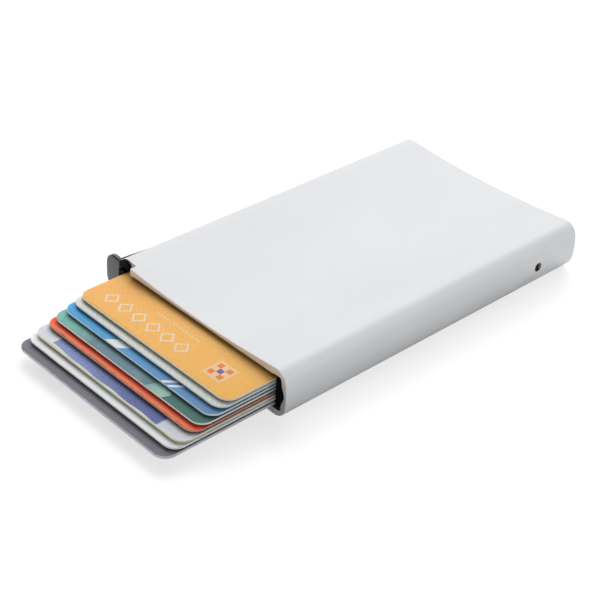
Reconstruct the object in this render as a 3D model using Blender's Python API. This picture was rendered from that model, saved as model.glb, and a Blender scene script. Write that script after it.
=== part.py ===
"""Aluminium card holder: an extruded sleeve, a moulded inner frame, a thumb slider and a stepped
ejector arm that fans eight cards out of the mouth. It stands in the photographed pose: slider
forward, cards fanned.

Case frame: x across the width from the cards' middle line, y from the mouth (0) to the back, z up
from the table. The thumb tab is on the -x side, and the slider's strip takes room there, so the
sleeve's own middle line lies a little to the left of the cards' middle line. Everything hangs on one
empty that sets this frame in the world, so that the world's origin is under the middle of the whole
object.
"""

import math

import bmesh
import bpy
from mathutils import Matrix, Vector

MM = 0.001

# Driving dimensions of the sleeve
CASE_WIDTH = 62.1 * MM
CASE_LENGTH = 101.0 * MM
CASE_HEIGHT = 12.65 * MM
CASE_SHIFT = -0.3 * MM
CASE_RIGHT_X = CASE_WIDTH / 2 + CASE_SHIFT
CASE_LEFT_X = -CASE_WIDTH / 2 + CASE_SHIFT
CORNER_RADIUS = 3.4 * MM
FACE_DISH = 1.25 * MM
CREST_WIDTH = 0.9 * MM
SIDE_LEAN = math.radians(9.4)
ROOF_Z = 10.6 * MM
FLOOR_Z = CASE_HEIGHT - ROOF_Z
POCKET_DEPTH = 0.25 * MM
GROOVE_X = 30.2 * MM
RIDGE_X = 29.28 * MM
RIDGE_HEIGHT = 3.2 * MM
EDGE_CHAMFER = 0.2 * MM

# Openings in the sleeve
NOTCH_INNER_X = -24.6 * MM
NOTCH_DEPTH = 1.9 * MM
SLOT_BOTTOM_Z = 4.05 * MM
SLOT_TOP_Z = 8.65 * MM
SCREW_Y = 86.4 * MM
SCREW_Z = 6.0 * MM
SCREW_HOLE_RADIUS = 1.25 * MM

# Standard bank-card size, and how the eight cards lie
CARD_LENGTH = 85.6 * MM
CARD_WIDTH = 53.98 * MM
CARD_THICKNESS = 0.76 * MM
CARD_CORNER = 3.18 * MM
CARD_PITCH = 0.94 * MM
CARD_BASE_Z = 2.55 * MM
CARD_RECESS = 1.0 * MM
CARDS = [
    ("card_grey", 31.5 * MM, (0.20, 0.19, 0.22)),
    ("card_white", 28.8 * MM, (0.82, 0.83, 0.84)),
    ("card_violet", 26.8 * MM, (0.55, 0.58, 0.74)),
    ("card_red", 23.45 * MM, (0.95, 0.15, 0.07)),
    ("card_teal", 21.4 * MM, (0.30, 0.46, 0.43)),
    ("card_blue", 18.4 * MM, (0.08, 0.29, 0.50)),
    ("card_pale", 15.9 * MM, (0.70, 0.76, 0.72)),
    ("card_orange", 13.9 * MM, (0.95, 0.56, 0.20)),
]

# Clearances
GAP = 0.3 * MM
RUNNING_GAP = 0.1 * MM

# Inner frame
RAIL_INNER_X = 27.3 * MM
RAIL_OUTER_X = 28.5 * MM
FRAME_LEFT_X = -29.2 * MM
RAIL_FRONT_Y = 0.12 * MM
RAIL_TOP_Z = ROOF_Z - GAP
RAIL_BOTTOM_Z = FLOOR_Z + GAP
LUG_FRONT_Y = 1.0 * MM
LUG_OUTER_X = -29.95 * MM
PIN_TOP_Z = RAIL_TOP_Z - 0.5 * MM
SPRING_BOTTOM_Z = 3.95 * MM
SPRING_TOP_Z = 9.05 * MM
BACK_WALL_Y = 97.0 * MM
BACK_WALL_THICKNESS = 1.3 * MM
TOP_RUNNER_Z = 9.25 * MM

# Slider
STROKE = CARDS[0][1] + CARD_RECESS
STRIP_THICKNESS = 0.76 * MM
BAR_OUTER_X = -28.76 * MM
BAR_TOP_Z = 8.95 * MM
BAR_FRONT_Y = 2.7 * MM
FOOT_DEPTH = 8.0 * MM
PUSH_GAP = 0.4 * MM
TAB_INNER_X = CASE_LEFT_X - GAP
TAB_OUTER_X = -36.6 * MM
TAB_FRONT_Y = 1.9 * MM
TAB_THICKNESS = 1.5 * MM
TAB_MIDDLE_Z = 6.1 * MM
TAB_HALF_HEIGHT = 4.6 * MM
TAB_SQUARENESS = 3.75
TAB_EDGE_FALL = 0.45 * MM
PAD_LENGTH = 10.0 * MM
PAD_TOP_Z = 10.25 * MM

# Ejector arm
PIVOT = Vector((24.0, 89.6)) * MM
SWING = math.radians(45.0)
HUB_RADIUS = 2.6 * MM
HUB_BOTTOM_Z = 4.55 * MM
HUB_TOP_Z = 8.95 * MM
PIVOT_PIN_RADIUS = 1.0 * MM
DRIVE_PIN_RADIUS = 1.0 * MM
DRIVE_PIN_OFFSET = 34.0 * MM
DRIVE_PIN_Y = 59.6 * MM
ARM_BACK_SLOPE = 0.065
ARM_DRAFT = 0.05 * MM
STEP_CLEARANCE = 0.09 * MM

# Sizes that follow from the ones above
OBJECT_BOX_X = (TAB_OUTER_X, CASE_RIGHT_X)
OBJECT_BOX_Y = (-CARDS[0][1], CASE_LENGTH)
CASE_ORIGIN = Vector((-sum(OBJECT_BOX_X) / 2, -sum(OBJECT_BOX_Y) / 2, 0.0))


def clear_scene():
    for item in list(bpy.data.objects):
        bpy.data.objects.remove(item, do_unlink=True)


def make_material(name, colour, roughness, metallic=0.0):
    material = bpy.data.materials.new(name)
    material.use_nodes = True
    shader = material.node_tree.nodes["Principled BSDF"]
    shader.inputs["Base Color"].default_value = (*colour, 1.0)
    shader.inputs["Roughness"].default_value = roughness
    shader.inputs["Metallic"].default_value = metallic
    material.diffuse_color = (*colour, 1.0)
    return material


def add_object(name, bm, material=None, place=(0.0, 0.0, 0.0), parent=None, sharp=30.0):
    """Turn a bmesh into a named object whose origin is at `place` in the case frame."""
    mesh = bpy.data.meshes.new(name)
    bmesh.ops.recalc_face_normals(bm, faces=bm.faces)
    bmesh.ops.translate(bm, verts=bm.verts, vec=-Vector(place))
    bm.to_mesh(mesh)
    bm.free()
    mesh.shade_smooth()
    mesh.set_sharp_from_angle(angle=math.radians(sharp))
    item = bpy.data.objects.new(name, mesh)
    bpy.context.scene.collection.objects.link(item)
    item.location = place
    if material:
        mesh.materials.append(material)
    if parent:
        item.parent = parent
    return item


def add_empty(name, place, parent=None):
    item = bpy.data.objects.new(name, None)
    bpy.context.scene.collection.objects.link(item)
    item.empty_display_size = 0.005
    item.location = place
    if parent:
        item.parent = parent
    return item


def combine(target, tool, operation):
    """Cut or join with a tool object, which stays in the file as a hidden wire shape."""
    tool.hide_render = True
    tool.display_type = "WIRE"
    tool.parent = target.parent
    step = target.modifiers.new(tool.name, "BOOLEAN")
    step.operation = operation
    step.solver = "EXACT"
    step.object = tool


def cut(target, name, bm, place=(0.0, 0.0, 0.0)):
    combine(target, add_object("cut_" + name, bm, place=place), "DIFFERENCE")


def weld(target, name, bm):
    combine(target, add_object("join_" + name, bm), "UNION")


# Shape builders

def box(low, high):
    bm = bmesh.new()
    bmesh.ops.create_cube(bm, size=1.0)
    size = Vector(high) - Vector(low)
    middle = (Vector(high) + Vector(low)) / 2
    bmesh.ops.transform(bm, matrix=Matrix.Translation(middle) @ Matrix.Diagonal((*size, 1.0)), verts=bm.verts)
    return bm


def prism(outline, low, high, axis="Z"):
    """Extrude a flat outline from `low` to `high` along Z, Y or X."""
    def place(a, b, height):
        return {"Z": (a, b, height), "Y": (a, height, b), "X": (height, a, b)}[axis]
    bm = bmesh.new()
    face = bm.faces.new([bm.verts.new(place(a, b, low)) for a, b in outline])
    grown = bmesh.ops.extrude_face_region(bm, geom=[face])["geom"]
    top = [item for item in grown if isinstance(item, bmesh.types.BMVert)]
    bmesh.ops.translate(bm, verts=top, vec=Vector(place(0.0, 0.0, high - low)))
    return bm


def loft(sections):
    """Skin a row of closed sections that all have the same number of points, and cap both ends."""
    bm = bmesh.new()
    rings = [[bm.verts.new(point) for point in section] for section in sections]
    for near, far in zip(rings, rings[1:]):
        for i in range(len(near)):
            j = (i + 1) % len(near)
            bm.faces.new((near[i], near[j], far[j], far[i]))
    bm.faces.new(list(reversed(rings[0])))
    bm.faces.new(rings[-1])
    return bm


def rod(radius, low, high, centre, axis="Z", sides=20):
    """A round bar along Z or X; `centre` holds its other two coordinates."""
    turns = [2 * math.pi * i / sides for i in range(sides)]
    outline = [(centre[0] + radius * math.cos(t), centre[1] + radius * math.sin(t)) for t in turns]
    return prism(outline, low, high, axis)


def turned(profile, centre, axis="Z", sides=20):
    """A turned pin: (radius in mm, place along the axis) pairs, closed flat at both ends."""
    sections = []
    for radius, along in profile:
        ring = []
        for i in range(sides):
            turn = 2 * math.pi * i / sides
            a = centre[0] + radius * MM * math.cos(turn)
            b = centre[1] + radius * MM * math.sin(turn)
            ring.append((a, b, along) if axis == "Z" else (along, a, b))
        sections.append(ring)
    return loft(sections)


def arc(centre, radius, start, end, steps):
    """Points on an arc, angles in degrees."""
    points = []
    for i in range(steps + 1):
        angle = math.radians(start + (end - start) * i / steps)
        points.append((centre[0] + radius * math.cos(angle), centre[1] + radius * math.sin(angle)))
    return points


def rounded_rectangle(low, high, radius, steps=6):
    corners = [
        ((high[0] - radius, high[1] - radius), 0),
        ((low[0] + radius, high[1] - radius), 90),
        ((low[0] + radius, low[1] + radius), 180),
        ((high[0] - radius, low[1] + radius), 270),
    ]
    return [point for centre, start in corners for point in arc(centre, radius, start, start + 90, steps)]


def offset_outline(outline, distance):
    """Move each point of a counter-clockwise outline outwards along its own normal."""
    moved = []
    for i, point in enumerate(outline):
        before = Vector(outline[i - 1])
        after = Vector(outline[(i + 1) % len(outline)])
        along = (after - before).normalized()
        moved.append((point[0] + along.y * distance, point[1] - along.x * distance))
    return moved


# Sleeve

def side_bow():
    """Radius of the bowed side, and how far out the round corner that runs on from it has its centre."""
    half_side = CASE_HEIGHT / 2 - CORNER_RADIUS * (1 - math.sin(SIDE_LEAN))
    side_radius = half_side / math.sin(SIDE_LEAN)
    corner_x = CASE_WIDTH / 2 - side_radius + (side_radius - CORNER_RADIUS) * math.cos(SIDE_LEAN)
    return side_radius, corner_x


def quarter_section():
    """Outer outline from the middle of the right side up to the middle of the top face.

    x is measured from the sleeve's own middle line.
    """
    lean = math.degrees(SIDE_LEAN)
    side_radius, corner_x = side_bow()
    side = arc((CASE_WIDTH / 2 - side_radius, CASE_HEIGHT / 2), side_radius, 0, lean, 3)
    corner = arc((corner_x, CASE_HEIGHT - CORNER_RADIUS), CORNER_RADIUS, lean, 90, 10)
    crest_x = corner_x - CREST_WIDTH
    face = [(crest_x * (1 - i / 12), CASE_HEIGHT - FACE_DISH * (1 - (1 - i / 12) ** 2)) for i in range(13)]
    return side + corner[1:] + face


def mirror_section(quarter):
    """Close a quarter outline, given from the right side to the top, over both middle planes."""
    left = [(-x, z) for x, z in reversed(quarter[:-1])]
    upper = quarter + left
    lower = [(x, CASE_HEIGHT - z) for x, z in reversed(upper[1:-1])]
    return [(x + CASE_SHIFT, z) for x, z in upper + lower]


def wall_inner_x(height):
    """Inner face of the side wall, from the sleeve's middle line, at a height over mid height.

    A wide groove runs along the middle of the wall between two low ridges.
    """
    share = min(abs(height) / RIDGE_HEIGHT, 1.0)
    return GROOVE_X - (GROOVE_X - RIDGE_X) * (1 - math.cos(math.pi * share)) / 2


def cavity_section():
    """Inner outline: flat roof and floor, a shallow step in each corner, grooved side walls."""
    middle = CASE_HEIGHT / 2
    heights = [RIDGE_HEIGHT * i / 6 for i in range(7)] + [3.85 * MM]
    side = [(wall_inner_x(height), middle + height) for height in heights]
    step_top = ROOF_Z + POCKET_DEPTH
    step_inner_x = 26.65 * MM
    shoulder = [(29.06 * MM, step_top - 0.2 * MM), (28.6 * MM, step_top)]
    roof = [(step_inner_x, step_top), (step_inner_x - 0.35 * MM, ROOF_Z), (0.0, ROOF_Z)]
    return mirror_section(side + shoulder + roof)


def build_sleeve(frame):
    aluminium = make_material("satin_aluminium", (0.80, 0.81, 0.82), 0.42, 1.0)
    outer = mirror_section(quarter_section())
    small = offset_outline(outer, -EDGE_CHAMFER)
    places = [(small, 0.0), (outer, EDGE_CHAMFER), (outer, CASE_LENGTH - EDGE_CHAMFER), (small, CASE_LENGTH)]
    sleeve = add_object("case_shell", loft([[(x, y, z) for x, z in ring] for ring, y in places]), aluminium,
                        parent=frame, sharp=25.0)
    inner = cavity_section()
    wide = offset_outline(inner, EDGE_CHAMFER)
    overrun = 1.0 * MM
    places = [(wide, -overrun), (wide, 0.0), (inner, EDGE_CHAMFER), (inner, CASE_LENGTH - EDGE_CHAMFER),
              (wide, CASE_LENGTH), (wide, CASE_LENGTH + overrun)]
    cut(sleeve, "cavity", loft([[(x, y, z) for x, z in ring] for ring, y in places]))
    outside = CASE_LEFT_X - overrun
    cut(sleeve, "notch", box((outside, -overrun, SLOT_BOTTOM_Z),
                             (NOTCH_INNER_X, NOTCH_DEPTH, CASE_HEIGHT + overrun)))
    radius = (SLOT_TOP_Z - SLOT_BOTTOM_Z) / 2
    slot_end = shank_back_y() + STROKE + GAP
    slot = [(0.0, SLOT_TOP_Z), (0.0, SLOT_BOTTOM_Z)]
    slot += arc((slot_end - radius, SLOT_BOTTOM_Z + radius), radius, -90, 90, 12)
    cut(sleeve, "slot", prism(slot, outside, CASE_LEFT_X + 4.0 * MM, "X"))
    cut(sleeve, "screw_hole", rod(SCREW_HOLE_RADIUS, CASE_RIGHT_X - 4.0 * MM, CASE_RIGHT_X + overrun,
                                  (SCREW_Y, SCREW_Z), "X", 24))
    return sleeve


# Inner frame and what is fixed to it

def gusset_outline():
    """Plan of the corner web that carries the pivot pin: round nose, square back."""
    nose = arc(PIVOT, HUB_RADIUS, 90, 270, 12)
    return nose + [(RAIL_OUTER_X, PIVOT.y - HUB_RADIUS), (RAIL_OUTER_X, BACK_WALL_Y + 0.5 * MM),
                   (PIVOT.x, BACK_WALL_Y + 0.5 * MM)]


def rail_outline():
    """Section of the right rail: flat towards the cards, fitted to the wall's groove on its outer side."""
    middle = CASE_HEIGHT / 2
    half = RAIL_TOP_Z - middle
    fitted = []
    for i in range(15):
        height = 3.6 * MM * (i / 7 - 1)
        fitted.append((wall_inner_x(height) + CASE_SHIFT - GAP, middle + height))
    corner_x = fitted[0][0] - 0.4 * MM
    return [(RAIL_INNER_X, middle - half), (corner_x, middle - half)] + fitted + \
        [(corner_x, middle + half), (RAIL_INNER_X, middle + half)]


def build_inner_frame(frame):
    black = make_material("black_plastic", (0.016, 0.016, 0.018), 0.45)
    lip_depth = 0.5 * MM
    back = BACK_WALL_Y + BACK_WALL_THICKNESS
    rail = add_object("inner_frame", prism(rail_outline(), RAIL_FRONT_Y, back, "Y"), black, parent=frame)
    weld(rail, "back_wall", box((FRAME_LEFT_X, BACK_WALL_Y, RAIL_BOTTOM_Z + 0.01 * MM),
                                (RAIL_OUTER_X - lip_depth, back - 0.02 * MM, RAIL_TOP_Z - 0.02 * MM)))
    weld(rail, "top_runner", box((FRAME_LEFT_X + 0.02 * MM, RAIL_FRONT_Y, TOP_RUNNER_Z),
                                 (-RAIL_INNER_X, BACK_WALL_Y + lip_depth, RAIL_TOP_Z - 0.04 * MM)))
    weld(rail, "front_post", box((FRAME_LEFT_X + 0.04 * MM, RAIL_FRONT_Y - 0.02 * MM, RAIL_BOTTOM_Z + 0.02 * MM),
                                 (-RAIL_INNER_X + 0.02 * MM, BAR_FRONT_Y - GAP, RAIL_TOP_Z - 0.06 * MM)))
    weld(rail, "lower_gusset", prism(gusset_outline(), RAIL_BOTTOM_Z + 0.04 * MM, HUB_BOTTOM_Z - GAP))
    weld(rail, "upper_gusset", prism(gusset_outline(), HUB_TOP_Z + GAP, RAIL_TOP_Z - 0.08 * MM))
    weld(rail, "corner_lug", prism(lug_outline(), LUG_FRONT_Y, NOTCH_DEPTH - 0.2 * MM, "Y"))
    cut(rail, "spring_pocket", box((RAIL_INNER_X - 0.2 * MM, 21.0 * MM, SPRING_BOTTOM_Z - 0.4 * MM),
                                   (RAIL_INNER_X + 0.9 * MM, 63.0 * MM, SPRING_TOP_Z + 0.4 * MM)))
    seat = [(0.9, 26.0 * MM), (0.9, 28.9 * MM), (1.3, 28.9 * MM), (1.3, 30.5 * MM)]
    cut(rail, "screw_seat", turned(seat, (SCREW_Y, SCREW_Z), "X", 16))
    cut(rail, "pin_seat", rod(PIVOT_PIN_RADIUS + RUNNING_GAP, RAIL_BOTTOM_Z + 0.4 * MM, PIN_TOP_Z + 0.1 * MM,
                              PIVOT))
    return rail


def lug_outline():
    """The lug that closes the sleeve's corner notch: under the tab's root it is a plain upright, and
    above the cards it follows the round corner and then falls away to the right.
    """
    corner = (CASE_SHIFT - side_bow()[1], CASE_HEIGHT - CORNER_RADIUS)
    radius = CORNER_RADIUS - 0.1 * MM
    over_cards = CARD_BASE_Z + CARD_PITCH * 7 + CARD_THICKNESS + GAP
    lean = math.degrees(math.acos((corner[0] - LUG_OUTER_X) / radius))
    return [(LUG_OUTER_X, SLOT_BOTTOM_Z + GAP), (-RAIL_INNER_X, SLOT_BOTTOM_Z + GAP), (-RAIL_INNER_X, over_cards),
            (-26.6 * MM, over_cards)] + \
        arc((-27.8 * MM, CASE_HEIGHT - 1.5 * MM), 1.25 * MM, 10, 75, 5) + arc(corner, radius, 92, 180 - lean, 6)


def build_rear_cap(frame):
    """End plug: a flat plate with a raised rim on its inner side."""
    black = make_material("cap_plastic", (0.018, 0.018, 0.020), 0.5)
    outline = offset_outline(cavity_section(), -GAP)
    front = BACK_WALL_Y + BACK_WALL_THICKNESS + GAP
    back = CASE_LENGTH - 0.5 * MM
    cap = add_object("rear_cap", loft([
        [(x, front, z) for x, z in outline],
        [(x, back - 0.3 * MM, z) for x, z in outline],
        [(x, back, z) for x, z in offset_outline(outline, -GAP)],
    ]), black, parent=frame)
    rim = 1.4 * MM
    cut(cap, "cap_hollow", box((FRAME_LEFT_X + rim, front - 1.0 * MM, RAIL_BOTTOM_Z + rim),
                               (RAIL_OUTER_X - rim, front + 0.7 * MM, RAIL_TOP_Z - rim)))
    return cap


def build_frame_screw(frame):
    """Blackened grub screw that locks the frame through the side of the sleeve."""
    steel = make_material("black_steel", (0.03, 0.03, 0.03), 0.35, 0.9)
    head_x = CASE_RIGHT_X - 0.45 * MM
    neck_x = head_x - 1.0 * MM
    profile = [(0.75, 27.7 * MM), (0.75, neck_x), (1.0, neck_x), (1.0, head_x - 0.1 * MM), (0.9, head_x)]
    screw = add_object("frame_screw", turned(profile, (SCREW_Y, SCREW_Z), "X"), steel, parent=frame)
    cut(screw, "hex_socket", rod(0.5 * MM, head_x - 0.6 * MM, head_x + 0.5 * MM, (SCREW_Y, SCREW_Z), "X", 6))
    return screw


def build_edge_spring(frame):
    """Bowed steel strip in the right rail that steadies the cards' edges."""
    steel = make_material("spring_steel", (0.60, 0.61, 0.62), 0.28, 1.0)
    start, end = 22.0 * MM, 62.0 * MM
    outer = []
    for i in range(17):
        u = i / 16
        bow = 0.55 * MM * math.sin(math.pi * u) ** 2
        outer.append((RAIL_INNER_X + 0.6 * MM - bow, start + (end - start) * u))
    outline = outer + [(x + 0.2 * MM, y) for x, y in reversed(outer)]
    return add_object("edge_spring", prism(outline, SPRING_BOTTOM_Z, SPRING_TOP_Z), steel, parent=frame)


def build_roof_strips(frame):
    """Thin felt strips under the roof, which keep the top card from rubbing on metal."""
    felt = make_material("dark_felt", (0.02, 0.02, 0.022), 0.95)
    top = ROOF_Z - 0.05 * MM
    for name, centre in (("felt_strip_left", -15.0 * MM), ("felt_strip_right", 15.0 * MM)):
        outline = rounded_rectangle((centre - 4.0 * MM, 4.0 * MM), (centre + 4.0 * MM, 82.0 * MM), 1.5 * MM, 3)
        add_object(name, prism(outline, top - 0.3 * MM, top), felt, parent=frame)


def build_pivot(frame):
    steel = make_material("pin_steel", (0.55, 0.56, 0.57), 0.25, 1.0)
    add_object("pivot_pin", rod(PIVOT_PIN_RADIUS, RAIL_BOTTOM_Z + 0.5 * MM, PIN_TOP_Z, PIVOT, sides=24), steel,
               parent=frame)
    brass = make_material("washer_brass", (0.75, 0.55, 0.28), 0.3, 1.0)
    low = HUB_BOTTOM_Z - 0.25 * MM
    washer = add_object("pivot_washer", rod(2.3 * MM, low, low + 0.2 * MM, PIVOT, sides=24), brass, parent=frame)
    cut(washer, "washer_hole", rod(PIVOT_PIN_RADIUS + RUNNING_GAP, low - 0.3 * MM, low + 0.5 * MM, PIVOT, sides=24))


# Slider

def shank_back_y():
    return TAB_FRONT_Y + TAB_THICKNESS + 9.5 * MM


def case_half_width(z):
    """Half the sleeve's outer width at a height, read off its outline."""
    outline = quarter_section()
    height = CASE_HEIGHT / 2 + abs(z - CASE_HEIGHT / 2)
    for (near_x, near_z), (far_x, far_z) in zip(outline, outline[1:]):
        if far_z >= height:
            return near_x + (far_x - near_x) * (height - near_z) / (far_z - near_z)
    return outline[0][0]


def tab_outline():
    """Front view of the thumb tab: a full D with a slight bow, fitted to the sleeve's side."""
    outline = []
    for i in range(25):
        turn = math.radians(-90 + 180 * i / 24)
        across = max(math.cos(turn), 0.0) ** (2 / TAB_SQUARENESS)
        up = math.copysign(abs(math.sin(turn)) ** (2 / TAB_SQUARENESS), turn)
        fall = math.copysign(TAB_EDGE_FALL * max(0.0, 1 - across / 0.55), turn)
        outline.append((TAB_INNER_X + (TAB_OUTER_X - TAB_INNER_X) * across,
                        TAB_MIDDLE_Z + TAB_HALF_HEIGHT * up - fall))
    low, top = outline[0][1], outline[-1][1]
    fitted = []
    for z in (top, 9.6 * MM, 8.4 * MM, CASE_HEIGHT / 2, 4.2 * MM, 2.9 * MM, low):
        fitted.append((CASE_SHIFT - GAP - case_half_width(z), z))
    return outline[1:-1] + fitted


def pad_section(y):
    """Cross-section of the thumb pad, which thins out towards the back."""
    u = max(0.0, (y - TAB_FRONT_Y - TAB_THICKNESS) / PAD_LENGTH)
    thickness = (0.45 + 0.75 * (1 - u) ** 1.2) * MM
    high = PAD_TOP_Z
    low = CASE_HEIGHT - PAD_TOP_Z
    outer_x = TAB_INNER_X - thickness
    soft = 0.3 * MM
    return [(TAB_INNER_X, y, low), (outer_x + soft, y, low), (outer_x, y, low + soft * 2),
            (outer_x, y, high - soft * 2), (outer_x + soft, y, high), (TAB_INNER_X, y, high)]


def build_thumb_tab(slider):
    plastic = make_material("tab_plastic", (0.085, 0.082, 0.085), 0.5)
    back = TAB_FRONT_Y + TAB_THICKNESS
    plate = prism(tab_outline(), TAB_FRONT_Y, back, "Y")
    rims = [edge for edge in plate.edges if abs(edge.verts[0].co.y - edge.verts[1].co.y) < 1e-7]
    bmesh.ops.bevel(plate, geom=rims, offset=0.22 * MM, offset_type="OFFSET", segments=2, profile=0.5,
                    affect="EDGES")
    tab = add_object("thumb_tab", plate, plastic, parent=slider)
    stations = [back - 0.7 * MM + (PAD_LENGTH + 0.7 * MM) * i / 8 for i in range(9)]
    weld(tab, "pad", loft([pad_section(y) for y in stations]))
    shank = rounded_rectangle((back + 0.3 * MM, SLOT_BOTTOM_Z + GAP), (shank_back_y(), SLOT_TOP_Z - GAP),
                              1.9 * MM, 5)
    weld(tab, "shank", prism(shank, TAB_INNER_X - 0.3 * MM, BAR_OUTER_X - RUNNING_GAP, "X"))
    for i, y in enumerate(rivet_places()):
        cut(tab, "rivet_seat_%d" % i, rod(0.8 * MM, -30.3 * MM, -28.0 * MM, (y, rivet_z()), "X", 16))
    return tab


def rivet_places():
    return [5.6 * MM, 10.0 * MM]


def rivet_z():
    return (SLOT_BOTTOM_Z + SLOT_TOP_Z) / 2


def foot_front_y():
    return CARD_LENGTH - CARDS[0][1] + PUSH_GAP


def build_slide_bar(slider):
    """Steel strip, bent along its lower edge into the foot that pushes the lowest card."""
    steel = make_material("strip_steel", (0.62, 0.63, 0.64), 0.3, 1.0)
    front, back = foot_front_y(), foot_front_y() + FOOT_DEPTH
    low, top = CARD_BASE_Z, BAR_TOP_Z
    waist_z = SLOT_BOTTOM_Z + GAP
    side = [(BAR_FRONT_Y, waist_z), (front - 4.0 * MM, waist_z), (front, low), (back, low), (back, top - 1.5 * MM),
            (back - 1.5 * MM, top), (BAR_FRONT_Y, top)]
    bar = add_object("slide_bar", prism(side, BAR_OUTER_X, BAR_OUTER_X + STRIP_THICKNESS, "X"), steel,
                     parent=slider)
    tip_x = PIVOT.x - DRIVE_PIN_OFFSET + 2.2 * MM
    plan = [(BAR_OUTER_X + 0.3 * MM, front + 0.02 * MM), (tip_x - 1.5 * MM, front + 0.02 * MM)]
    plan += arc((tip_x - 1.5 * MM, front + 1.52 * MM), 1.5 * MM, -90, 0, 4)[1:]
    plan += arc((tip_x - 3.0 * MM, back - 3.02 * MM), 3.0 * MM, 0, 90, 6)
    plan += [(BAR_OUTER_X + 0.3 * MM, back - 0.02 * MM)]
    weld(bar, "foot", prism(plan, low + 0.02 * MM, low + STRIP_THICKNESS))
    cut(bar, "drive_hole", rod(0.9 * MM, low - 1.0 * MM, low + 2.0 * MM,
                               (PIVOT.x - DRIVE_PIN_OFFSET, DRIVE_PIN_Y), sides=20))
    for i, y in enumerate(rivet_places()):
        cut(bar, "rivet_hole_%d" % i, rod(0.8 * MM, -29.5 * MM, -27.0 * MM, (y, rivet_z()), "X", 16))
    return bar


def build_tab_rivets(slider):
    """Two flat-headed rivets that hold the tab on the strip."""
    steel = make_material("rivet_steel", (0.5, 0.5, 0.5), 0.35, 1.0)
    bar_inner_x = BAR_OUTER_X + STRIP_THICKNESS
    profile = [(0.7, -29.9 * MM), (0.7, bar_inner_x + 0.05 * MM), (1.3, bar_inner_x + 0.05 * MM),
               (1.2, bar_inner_x + 0.25 * MM), (0.6, bar_inner_x + 0.38 * MM)]
    for name, y in zip(("tab_rivet_front", "tab_rivet_back"), rivet_places()):
        add_object(name, turned(profile, (y, rivet_z()), "X", 16), steel, parent=slider)


def build_drive_pin(slider):
    """Shouldered pin on the foot that runs in the arm's cam slot."""
    steel = make_material("drive_steel", (0.58, 0.58, 0.6), 0.25, 1.0)
    shoulder = CARD_BASE_Z + STRIP_THICKNESS + 0.05 * MM
    top = step_top(1) - 0.1 * MM
    profile = [(0.8, CARD_BASE_Z + 0.05 * MM), (0.8, shoulder), (1.0, shoulder), (1.0, top)]
    centre = (PIVOT.x - DRIVE_PIN_OFFSET, DRIVE_PIN_Y)
    return add_object("drive_pin", turned(profile, centre), steel, parent=slider)


# Ejector arm

def card_travel(index):
    return CARDS[index][1] + CARD_RECESS


def step_top(index):
    """Height of the arm's terrace that ends just under the next card up."""
    return CARD_BASE_Z + CARD_PITCH * (index + 1) - STEP_CLEARANCE


def involute_face(index, draft):
    """Nose of one step. u runs from the pivot to the tip, v towards the cards, arm folded back.

    The face is the envelope of the card's straight back edge while the arm turns at a constant
    rate and the card moves at a constant rate, so the two keep in step over the whole stroke.
    """
    reach = card_travel(index) / SWING
    points = []
    for i in range(13):
        turn = SWING * i / 12
        depth = HUB_RADIUS - draft + reach * turn
        points.append((reach * math.cos(turn) + depth * math.sin(turn),
                       -reach * math.sin(turn) + depth * math.cos(turn)))
    return points


def step_outline(index, draft):
    """Closed plan of one step in (u, v), always with the same number of points."""
    hub = HUB_RADIUS - draft
    around = [(-hub * math.sin(math.radians(a)), -hub * math.cos(math.radians(a))) for a in range(0, 181, 20)]
    nose = involute_face(index, draft)
    tip_u, tip_v = nose[-1]

    def back(u):
        return -hub - ARM_BACK_SLOPE * u
    end = [(tip_u + 0.35 * MM, tip_v - 0.5 * MM), (tip_u + 0.3 * MM, back(tip_u) + 0.8 * MM),
           (tip_u - 0.6 * MM, back(tip_u))]
    return around + nose + end


def arm_to_case(u, v, turn):
    """Plan point of the arm in the case frame, with the arm swung forward by `turn`."""
    forward_u = u * math.cos(turn) - v * math.sin(turn)
    forward_v = u * math.sin(turn) + v * math.cos(turn)
    return PIVOT.x - forward_u, PIVOT.y - forward_v


def cam_path():
    """Where the drive pin's centre runs in the arm, in (u, v), from folded back to swung forward."""
    path = []
    for i in range(17):
        share = i / 16
        turn = SWING * share
        depth = PIVOT.y - (DRIVE_PIN_Y + STROKE * (1 - share))
        path.append(Vector((DRIVE_PIN_OFFSET * math.cos(turn) + depth * math.sin(turn),
                            -DRIVE_PIN_OFFSET * math.sin(turn) + depth * math.cos(turn))))
    return path


def cam_slot_outline():
    """The cam path widened by the slot's half width, with round ends and no folds in its bend."""
    radius = DRIVE_PIN_RADIUS + GAP
    path = cam_path()
    sides = ([], [])
    for i, point in enumerate(path):
        along = (path[min(i + 1, len(path) - 1)] - path[max(i - 1, 0)]).normalized()
        across = Vector((-along.y, along.x)) * radius
        for side, moved in zip(sides, (point + across, point - across)):
            if min((moved - other).length for other in path) > radius * 0.995:
                side.append(moved)

    def cap(centre, direction):
        left = Vector((-direction.y, direction.x))
        turns = [math.radians(angle) for angle in (-60, -30, 0, 30, 60)]
        return [centre + radius * (direction * math.cos(turn) - left * math.sin(turn)) for turn in turns]
    start = (path[0] - path[1]).normalized()
    finish = (path[-1] - path[-2]).normalized()
    return sides[0] + cap(path[-1], finish) + list(reversed(sides[1])) + cap(path[0], start)


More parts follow.
